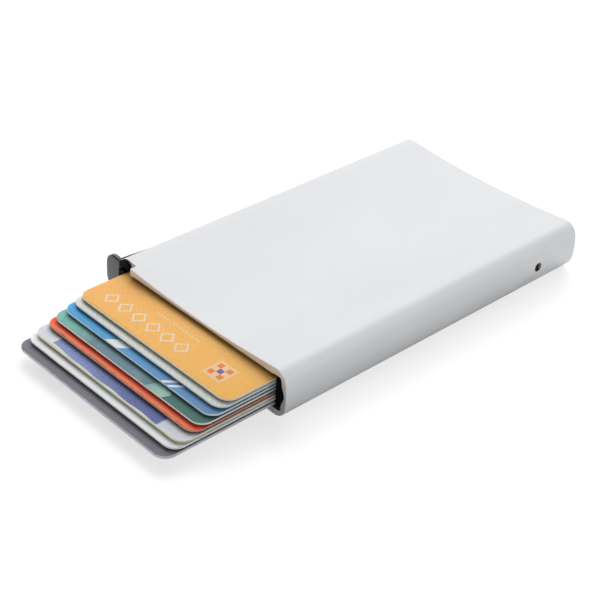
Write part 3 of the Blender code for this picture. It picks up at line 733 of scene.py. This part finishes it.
orangeCard = {
    "node": "card_orange",
    "litCoreLine": (0.88, 0.80, 0.73),
    "paintedLowerEdge": (0.19, 0.195, 0.13),
    "back": (0.72, 0.55, 0.40),
    "plain": (0.93, 0.48, 0.14),
    "roughness": 0.3,
    "grain": 2600,
    "leftTones": ((0.90, 0.43, 0.095), (0.97, 0.53, 0.155)),
    # The right tones are lighter: painted light that lifts the shade towards the right end
    "rightTonesPaintedLight": ((0.98, 0.48, 0.095), (1.0, 0.58, 0.16)),
    "toneChange": (-24, 20),
    "paleInk": (0.84, 0.74, 0.62),
    "inkShare": 0.85,
    "lozengeStart": -20.4,       # middle of the first lozenge
    "lozengeEvery": 5.1,
    "lozengeBack": 5.3,
    "lozengeSize": (2.2, 2.3),   # half its reach, across and back
    "lozengeLine": (0.72, 0.98),    # shares of that reach between which its line is drawn
    "chainAcross": (-23.0, 7.6),
    "dotStart": -40.0,           # counted from beside the card
    "dotEvery": 1.1,
    "dotAcross": (-9.0, 6.0),
    "dotBack": (9.6, 10.1),
    "tileAcross": 17.5,
    "tileBack": 6.2,
    "tileEdge": (2.7, 3.2),      # where its pale ground fades out, from its middle
    "tileGround": (0.93, 0.64, 0.36),
    "squareHalf": 2.25,          # half of the block of squares
    "squareScale": 0.6667,       # gives squares of 1.5
    "squareInk": (0.90, 0.26, 0.055),
    "middleInk": (0.24, 0.13, 0.36),
}


def lozengeChain(card, tree, across, back):
    sideways = fromMark(tree, across, card["lozengeStart"], card["lozengeEvery"])
    endways = maths(tree, "ABSOLUTE", maths(tree, "SUBTRACT", back, card["lozengeBack"]))
    reach = maths(tree, "ADD", maths(tree, "DIVIDE", sideways, card["lozengeSize"][0]),
                  maths(tree, "DIVIDE", endways, card["lozengeSize"][1]))
    return maths(tree, "MULTIPLY", inBand(tree, reach, *card["lozengeLine"], softness=0.05),
                 inBand(tree, across, *card["chainAcross"], softness=0.1))


def dottedLine(card, tree, across, back):
    dot = fromMark(tree, across, card["dotStart"], card["dotEvery"])
    dots = maths(tree, "MULTIPLY", spread(tree, dot, 0, 0.6, 0.2, 0.3),
                 inBand(tree, back, *card["dotBack"], softness=0.08))
    return maths(tree, "MULTIPLY", dots,
                 inBand(tree, across, *card["dotAcross"], softness=0.1))


def chequeredTile(card, tree, across, back, field):
    sideways = maths(tree, "SUBTRACT", across, card["tileAcross"])
    endways = maths(tree, "SUBTRACT", back, card["tileBack"])
    fromMiddle = maths(tree, "MAXIMUM", maths(tree, "ABSOLUTE", sideways),
                       maths(tree, "ABSOLUTE", endways))
    ground = blendColours(tree, spread(tree, fromMiddle, 1, 0, *card["tileEdge"]), field,
                          card["tileGround"])
    half = card["squareHalf"]
    corner = addNode(tree, "CombineXYZ", {"X": maths(tree, "ADD", sideways, half),
                                          "Y": maths(tree, "ADD", endways, half), "Z": 2.0})
    chequer = addNode(tree, "TexChecker", {"Vector": corner.outputs[0],
                                           "Scale": card["squareScale"]}).outputs["Fac"]
    squares = maths(tree, "MULTIPLY", chequer,
                    spread(tree, fromMiddle, 1, 0, half - 0.05, half + 0.05))
    # Only the square in the middle, which reaches 0.75 each way, has the other ink
    inks = blendColours(tree, spread(tree, fromMiddle, 1, 0, 0.74, 0.76), card["squareInk"],
                        card["middleInk"])
    return blendColours(tree, squares, ground, inks)


def orangePrint(card):
    # A chain of pale lozenges, a dotted line and a small chequered tile, drawn for this card
    material, tree, shader = newPrint(card)
    across, back = cardAxes(tree, card)
    grain = noiseOf(tree, objectPoint(tree), card["grain"], detail=2, roughness=0.7)
    left = mottle(tree, grain, card["leftTones"], 0.35, 0.65)
    # lighter towards the right as painted light
    right = mottle(tree, grain, card["rightTonesPaintedLight"], 0.35, 0.65)
    field = blendColours(tree, spread(tree, across, 0, 1, *card["toneChange"]), left, right)
    pale = maths(tree, "MAXIMUM", lozengeChain(card, tree, across, back),
                 dottedLine(card, tree, across, back))
    marked = blendColours(tree, maths(tree, "MULTIPLY", pale, card["inkShare"]), field,
                          card["paleInk"])
    laminate(card, tree, shader, chequeredTile(card, tree, across, back, marked))
    return material


paleCard = {
    "node": "card_pale",
    "litCoreLine": (0.84, 0.85, 0.78),
    "paintedLowerEdge": (0.013, 0.055, 0.14),
    "back": (0.66, 0.68, 0.64),
    "plain": (0.84, 0.88, 0.80),
    "roughness": 0.32,
    "zoneScale": 90,
    "zoneTones": ((0.70, 0.79, 0.71), (0.85, 0.81, 0.74)),
    "lineScale": 330,
    "lineCurl": 6,
    "lineInk": (0.88, 0.90, 0.85),
}


def palePrint(card):
    # Fine curling lines over soft green and beige zones
    material, tree, shader = newPrint(card)
    point = objectPoint(tree)
    fine = addNode(tree, "TexWave", {"Vector": point, "Scale": card["lineScale"],
                                     "Distortion": card["lineCurl"], "Detail": 1,
                                     "Detail Scale": 0.6}, bands_direction="DIAGONAL")
    zones = mottle(tree, noiseOf(tree, point, card["zoneScale"], detail=2), card["zoneTones"])
    lines = spread(tree, fine.outputs["Fac"], 0, 0.45, 0, 1)
    laminate(card, tree, shader, blendColours(tree, lines, zones, card["lineInk"]))
    return material


blueCard = {
    "node": "card_blue",
    "litCoreLine": (0.70, 0.80, 0.86),
    "paintedLowerEdge": (0.004, 0.028, 0.036),
    "back": (0.60, 0.64, 0.70),
    "plain": (0.12, 0.40, 0.72),
    "roughness": 0.28,
    "endTones": ((0.072, 0.42, 0.82), (0.15, 0.30, 0.56)),
    "toneChange": (-27, 27),
    "slant": -0.9,               # stripes move across by this for each millimetre back
    "wideStripe": (-10.5, -6.0),
    "thinStripes": (9.0, 13.4),
    "thinEvery": 2.2,
    "thinSide": (0.52, 0.68),    # where a stripe's side is, counted from the gap's middle
    "stripeInk": (0.88, 0.89, 0.90),
}


def bluePrint(card):
    # One wide and two thin slanted stripes
    material, tree, shader = newPrint(card)
    across, back = cardAxes(tree, card)
    field = mottle(tree, across, card["endTones"], *card["toneChange"])
    slanted = maths(tree, "ADD", across, maths(tree, "MULTIPLY", back, card["slant"]))
    wide = inBand(tree, slanted, *card["wideStripe"], softness=0.1)
    mark = fromMark(tree, slanted, card["thinStripes"][0], card["thinEvery"])
    thin = maths(tree, "MULTIPLY", spread(tree, mark, 0, 1, *card["thinSide"]),
                 inBand(tree, slanted, *card["thinStripes"], softness=0.1))
    stripes = maths(tree, "MAXIMUM", thin, wide)
    laminate(card, tree, shader, blendColours(tree, stripes, field, card["stripeInk"]))
    return material


tealCard = {
    "node": "card_teal",
    "litCoreLine": (0.84, 0.85, 0.81),
    "paintedLowerEdge": (0.09, 0.010, 0.009),
    "back": (0.50, 0.58, 0.55),
    "plain": (0.20, 0.36, 0.34),
    "roughness": 0.32,
    "fieldScale": 190,
    "mint": ((0.17, 0.48, 0.41), (0.30, 0.60, 0.52)),
    "slate": ((0.14, 0.25, 0.31), (0.20, 0.32, 0.35)),
    "moss": ((0.075, 0.20, 0.175), (0.34, 0.60, 0.50)),
    "mossSplit": (0.62, 0.68),   # about this share of the moss fields is dark
    "mintToSlate": (-20, -13),
    "slateToMoss": (4, 12),
}


def tealPrint(card):
    # Large colour fields: mint on the left, slate in the middle, moss on the right
    material, tree, shader = newPrint(card)
    across = cardAxes(tree, card)[0]
    fields = addNode(tree, "TexVoronoi", {"Vector": objectPoint(tree), "Scale": card["fieldScale"]})
    draw = addNode(tree, "SeparateColor", {"Color": fields.outputs["Color"]}).outputs
    slate = blendColours(tree, draw[0], *card["slate"])
    mint = blendColours(tree, draw[1], *card["mint"])
    moss = mottle(tree, draw[2], card["moss"], *card["mossSplit"])
    left = mottle(tree, across, (mint, slate), *card["mintToSlate"])
    laminate(card, tree, shader, mottle(tree, across, (left, moss), *card["slateToMoss"]))
    return material


redCard = {
    "node": "card_red",
    "litCoreLine": (0.56, 0.30, 0.23),
    "paintedLowerEdge": (0.020, 0.009, 0.014),
    "back": (0.62, 0.30, 0.20),
    "plain": (1.0, 0.21, 0.075),
    "roughness": 0.3,
    # Lit red at the front, darker towards the back: painted shade under the teal card's edge
    "paintedShadeFrontToBack": ((1.0, 0.25, 0.095), (1.0, 0.105, 0.042)),
    "toneChange": (0.5, 1.9),
    "tideScale": 160,
    "tide": 0.2,                 # how far the change of tone strays
    "hemBack": (0.36, 0.48),     # where the hem fades out
    "hemGrain": 900,
    "hemInk": (0.30, 0.14, 0.10),
}


def redPrint(card):
    # Red that darkens towards the back as painted shade, with a dark woven hem along the front
    material, tree, shader = newPrint(card)
    back = cardAxes(tree, card)[1]
    tide = noiseOf(tree, objectPoint(tree), card["tideScale"], detail=2)
    depth = maths(tree, "ADD", back, spread(tree, tide, -card["tide"], card["tide"]))
    field = mottle(tree, depth, card["paintedShadeFrontToBack"], *card["toneChange"])
    weave = noiseOf(tree, objectPoint(tree, scale=(1, 2, 1)), card["hemGrain"], detail=2)
    hem = maths(tree, "MULTIPLY", spread(tree, back, 1, 0, *card["hemBack"]),
                spread(tree, weave, 0.2, 0.9, 0.4, 0.6))
    laminate(card, tree, shader, blendColours(tree, hem, field, card["hemInk"]))
    return material


violetCard = {
    "node": "card_violet",
    "litCoreLine": (0.84, 0.84, 0.70),
    "paintedLowerEdge": (0.36, 0.38, 0.28),
    "back": (0.70, 0.72, 0.66),
    "plain": (0.52, 0.55, 0.70),
    "roughness": 0.28,
    "threadScale": 640,
    "threadCurl": 8,
    "leftThreads": ((0.17, 0.21, 0.46), (0.34, 0.42, 0.73)),
    "rightThreads": ((0.08, 0.10, 0.27), (0.19, 0.23, 0.49)),
    "threadChange": (-16, 8),
    "bandAcross": (-20.0, 18.5),
    "endScale": 240,
    "endTones": ((0.66, 0.68, 0.78), (0.84, 0.85, 0.88)),
    "borderInk": (0.80, 0.80, 0.64),
    "borderBack": (0.85, 0.38),  # its width at the left and on the rest
    "borderChange": (-22, -8),
    "borderWave": 0.13,
    "waveTurn": 0.62,            # radians for each millimetre across
}


def violetPrint(card):
    # A woven violet band between pale ends, with a cream border that waves along the front
    material, tree, shader = newPrint(card)
    across, back = cardAxes(tree, card)
    weave = addNode(tree, "TexWave", {"Vector": objectPoint(tree), "Scale": card["threadScale"],
                                      "Distortion": card["threadCurl"], "Detail": 2},
                    bands_direction="X")
    threads = spread(tree, weave.outputs["Fac"], 0, 1, 0.15, 0.7)
    left = blendColours(tree, threads, *card["leftThreads"])
    right = blendColours(tree, threads, *card["rightThreads"])
    band = mottle(tree, across, (left, right), *card["threadChange"])
    cloud = noiseOf(tree, objectPoint(tree), card["endScale"], detail=3)
    ends = mottle(tree, cloud, card["endTones"])
    field = blendColours(tree, inBand(tree, across, *card["bandAcross"], softness=0.3), ends, band)
    turned = maths(tree, "SINE", maths(tree, "MULTIPLY", across, card["waveTurn"]))
    waves = maths(tree, "MULTIPLY", turned, card["borderWave"])
    width = maths(tree, "ADD", waves, spread(tree, across, *card["borderBack"],
                                             *card["borderChange"]))
    border = spread(tree, maths(tree, "SUBTRACT", back, width), 1, 0, -0.05, 0.05)
    laminate(card, tree, shader, blendColours(tree, border, field, card["borderInk"]))
    return material


whiteCard = {
    "node": "card_white",
    "litCoreLine": (0.88, 0.89, 0.90),
    "paintedLowerEdge": (0.010, 0.010, 0.012),
    "back": (0.80, 0.80, 0.80),
    "plain": (0.92, 0.93, 0.94),
    "roughness": 0.3,
    "fleckScale": 1500,
    "tones": ((0.955, 0.96, 0.965), (0.98, 0.985, 0.99)),
    "lineBack": (2.0, 2.2),
    "lineShare": 0.35,
    "lineInk": (0.45, 0.55, 0.52),
}


def whitePrint(card):
    # White with one thin line along the front
    material, tree, shader = newPrint(card)
    back = cardAxes(tree, card)[1]
    fleck = noiseOf(tree, objectPoint(tree), card["fleckScale"], detail=3)
    field = mottle(tree, fleck, card["tones"])
    line = maths(tree, "MULTIPLY", inBand(tree, back, *card["lineBack"], softness=0.04),
                 card["lineShare"])
    laminate(card, tree, shader, blendColours(tree, line, field, card["lineInk"]))
    return material


greyCard = {
    "node": "card_grey",
    "litCoreLine": (0.62, 0.60, 0.68),
    "paintedLowerEdge": (0.74, 0.73, 0.80),
    "back": (0.56, 0.55, 0.62),
    "plain": (0.21, 0.20, 0.23),
    "roughness": 0.34,
    "fleckScale": 1800,
    "tones": ((0.185, 0.175, 0.205), (0.235, 0.225, 0.255)),
    "lineStart": -40.0,          # counted from beside the card
    "lineEvery": 1.6,
    "lineHalf": (0.1, 0.16),     # where half a line's width fades out
    "lineBack": (4.0, 15.0),
    "lineShare": 0.5,
    "lineInk": (0.12, 0.115, 0.135),
}


def greyPrint(card):
    # Grey with fine ruled lines far back
    material, tree, shader = newPrint(card)
    across, back = cardAxes(tree, card)
    fleck = noiseOf(tree, objectPoint(tree), card["fleckScale"], detail=3)
    field = mottle(tree, fleck, card["tones"])
    mark = fromMark(tree, across, card["lineStart"], card["lineEvery"])
    ruled = maths(tree, "MULTIPLY", spread(tree, mark, card["lineShare"], 0, *card["lineHalf"]),
                  inBand(tree, back, *card["lineBack"], softness=0.05))
    laminate(card, tree, shader, blendColours(tree, ruled, field, card["lineInk"]))
    return material


for card, drawPrint in ((greyCard, greyPrint), (whiteCard, whitePrint), (violetCard, violetPrint),
                        (redCard, redPrint), (tealCard, tealPrint), (blueCard, bluePrint),
                        (paleCard, palePrint), (orangeCard, orangePrint)):
    makeCard(card, drawPrint(card))
print("cards ready")


# Frame, slider and arm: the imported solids, merged and given soft edges and moulded finishes

moulded = {
    "mergeGap": 0.002 * mm,
    "flatAngle": 0.6,            # degrees up to which neighbouring triangles count as one face
    "sharpAngle": 30,
    "edgeSteps": 2,
    "grainScale": 2800,
    "grainRelief": 0.25,
    "wearScale": 220,
    "wornLight": 1.35,           # worn places are lighter by this
    "wornRoughness": (-0.05, 0.08),     # added to the plastic's own
}

rolledMarks = {
    "scale": 3000,
    "stretch": 0.04,
    "darkShare": 0.86,
    "roughness": (-0.06, 0.1),   # added to the metal's own
    "relief": 0.15,
}

plastics = {
    "blackPlastic": {"colour": (0.003, 0.003, 0.003), "roughness": 0.6, "shine": 0.05},
    "tabPlastic": {"colour": (0.13, 0.126, 0.124), "roughness": 0.45, "shine": 0.3},
    "armPlastic": {"colour": (0.28, 0.29, 0.30), "roughness": 0.5, "shine": 0.5},
}

metals = {
    "springSteel": {"colour": (0.62, 0.63, 0.64), "roughness": 0.28},
    "blackSteel": {"colour": (0.05, 0.05, 0.052), "roughness": 0.34},
    "washerBrass": {"colour": (0.75, 0.55, 0.28), "roughness": 0.3},
}

tab = {
    "paintedShadeInk": (0.010, 0.0095, 0.010),
    "faceBack": (0.04, 0.10),    # millimetres behind the plate's face where its grey ends
    "rimBack": (0.55, 1.25),     # grey strip between the rim's two edges of painted shade
}

feltStrip = {
    "plain": (0.02, 0.02, 0.022),
    "tones": ((0.014, 0.014, 0.016), (0.05, 0.05, 0.055)),
    "roughness": 0.95,
    "fibreScale": 1800,
    "fibreStretch": 0.35,
    "sheen": 0.3,
    "relief": 0.8,
}


def mouldedPlastic(name):
    colour = plastics[name]["colour"]
    roughness = plastics[name]["roughness"]
    material, tree, shader = newMaterial(name, colour, roughness)
    fine = noiseOf(tree, objectPoint(tree), moulded["grainScale"], detail=3)
    worn = noiseOf(tree, objectPoint(tree), moulded["wearScale"], detail=3)
    tone = mottle(tree, worn, (colour, [channel * moulded["wornLight"] for channel in colour]))
    rough = spread(tree, worn, *[roughness + step for step in moulded["wornRoughness"]])
    setInputs(tree, shader, {"Base Color": tone, "Roughness": rough,
                             "Specular IOR Level": plastics[name]["shine"]})
    addBump(tree, shader, fine, moulded["grainRelief"], depth=0.03 * mm)
    return material, tree, shader, tone


def tabFinish():
    # Grey face and grey strip on the rim in the plastic's own tone; the rim's two edges get a
    # near-black painted shade, and the pad behind it is just as dark
    material, tree, shader, tone = mouldedPlastic("tabPlastic")
    low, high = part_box("thumb_tab")
    behind = mmFrom(tree, "Y", low.y)
    rim = inBand(tree, behind, *tab["rimBack"], softness=0.08)
    face = spread(tree, behind, 1, 0, *tab["faceBack"])
    keptGrey = maths(tree, "MAXIMUM", rim, face)
    setInputs(tree, shader, {"Base Color": blendColours(tree, keptGrey, tab["paintedShadeInk"], tone)})
    return material


def rolledMetal(name):
    colour = metals[name]["colour"]
    roughness = metals[name]["roughness"]
    material, tree, shader = newMaterial(name, colour, roughness, metallic=1)
    stretched = objectPoint(tree, scale=(1, rolledMarks["stretch"], 1))
    marks = noiseOf(tree, stretched, rolledMarks["scale"], detail=3)
    dark = [channel * rolledMarks["darkShare"] for channel in colour]
    rough = spread(tree, marks, *[roughness + step for step in rolledMarks["roughness"]])
    setInputs(tree, shader, {"Base Color": mottle(tree, marks, (dark, colour)), "Roughness": rough})
    addBump(tree, shader, marks, rolledMarks["relief"])
    return material


def pressedFelt():
    material, tree, shader = newMaterial("pressedFelt", feltStrip["plain"], feltStrip["roughness"])
    stretched = objectPoint(tree, scale=(1, feltStrip["fibreStretch"], 1))
    fibres = noiseOf(tree, stretched, feltStrip["fibreScale"], detail=5, roughness=0.7)
    setInputs(tree, shader, {"Base Color": mottle(tree, fibres, feltStrip["tones"]),
                             "Sheen Weight": feltStrip["sheen"]})
    addBump(tree, shader, fibres, feltStrip["relief"], depth=0.08 * mm)
    return material


def softenedCopy(node, name, body, material, softness):
    bm = bmesh.new()
    bm.from_mesh(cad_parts[node].data)
    bmesh.ops.remove_doubles(bm, verts=bm.verts, dist=moulded["mergeGap"])
    bmesh.ops.dissolve_limit(bm, angle_limit=math.radians(moulded["flatAngle"]), verts=bm.verts,
                             edges=bm.edges)
    piece = linkPiece(name, bm, [material], body, moulded["sharpAngle"])
    softEdges(piece, softness, moulded["edgeSteps"], moulded["sharpAngle"])
    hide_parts(node)


blackPlastic = mouldedPlastic("blackPlastic")[0]
tabPlastic = tabFinish()
armPlastic = mouldedPlastic("armPlastic")[0]
springSteel = rolledMetal("springSteel")
blackSteel = rolledMetal("blackSteel")
washerBrass = rolledMetal("washerBrass")
felt = pressedFelt()

softenedCopy("inner_frame", "innerFrame", "case", blackPlastic, softness=0.12 * mm)
softenedCopy("rear_cap", "rearCap", "case", blackPlastic, softness=0.12 * mm)
softenedCopy("frame_screw", "frameScrew", "case", blackSteel, softness=0.04 * mm)
softenedCopy("thumb_tab", "thumbTab", "slider", tabPlastic, softness=0.12 * mm)
softenedCopy("slide_bar", "slideBar", "slider", springSteel, softness=0.06 * mm)
softenedCopy("ejector_arm", "ejectorArm", "arm", armPlastic, softness=0.05 * mm)

for node, material in {
    "edge_spring": springSteel,
    "pivot_pin": springSteel,
    "pivot_washer": washerBrass,
    "tab_rivet_front": springSteel,
    "tab_rivet_back": springSteel,
    "drive_pin": springSteel,
    "felt_strip_left": felt,
    "felt_strip_right": felt,
}.items():
    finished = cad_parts[node]
    finished.data.materials.clear()
    finished.data.materials.append(material)
print("frame, slider and arm ready")
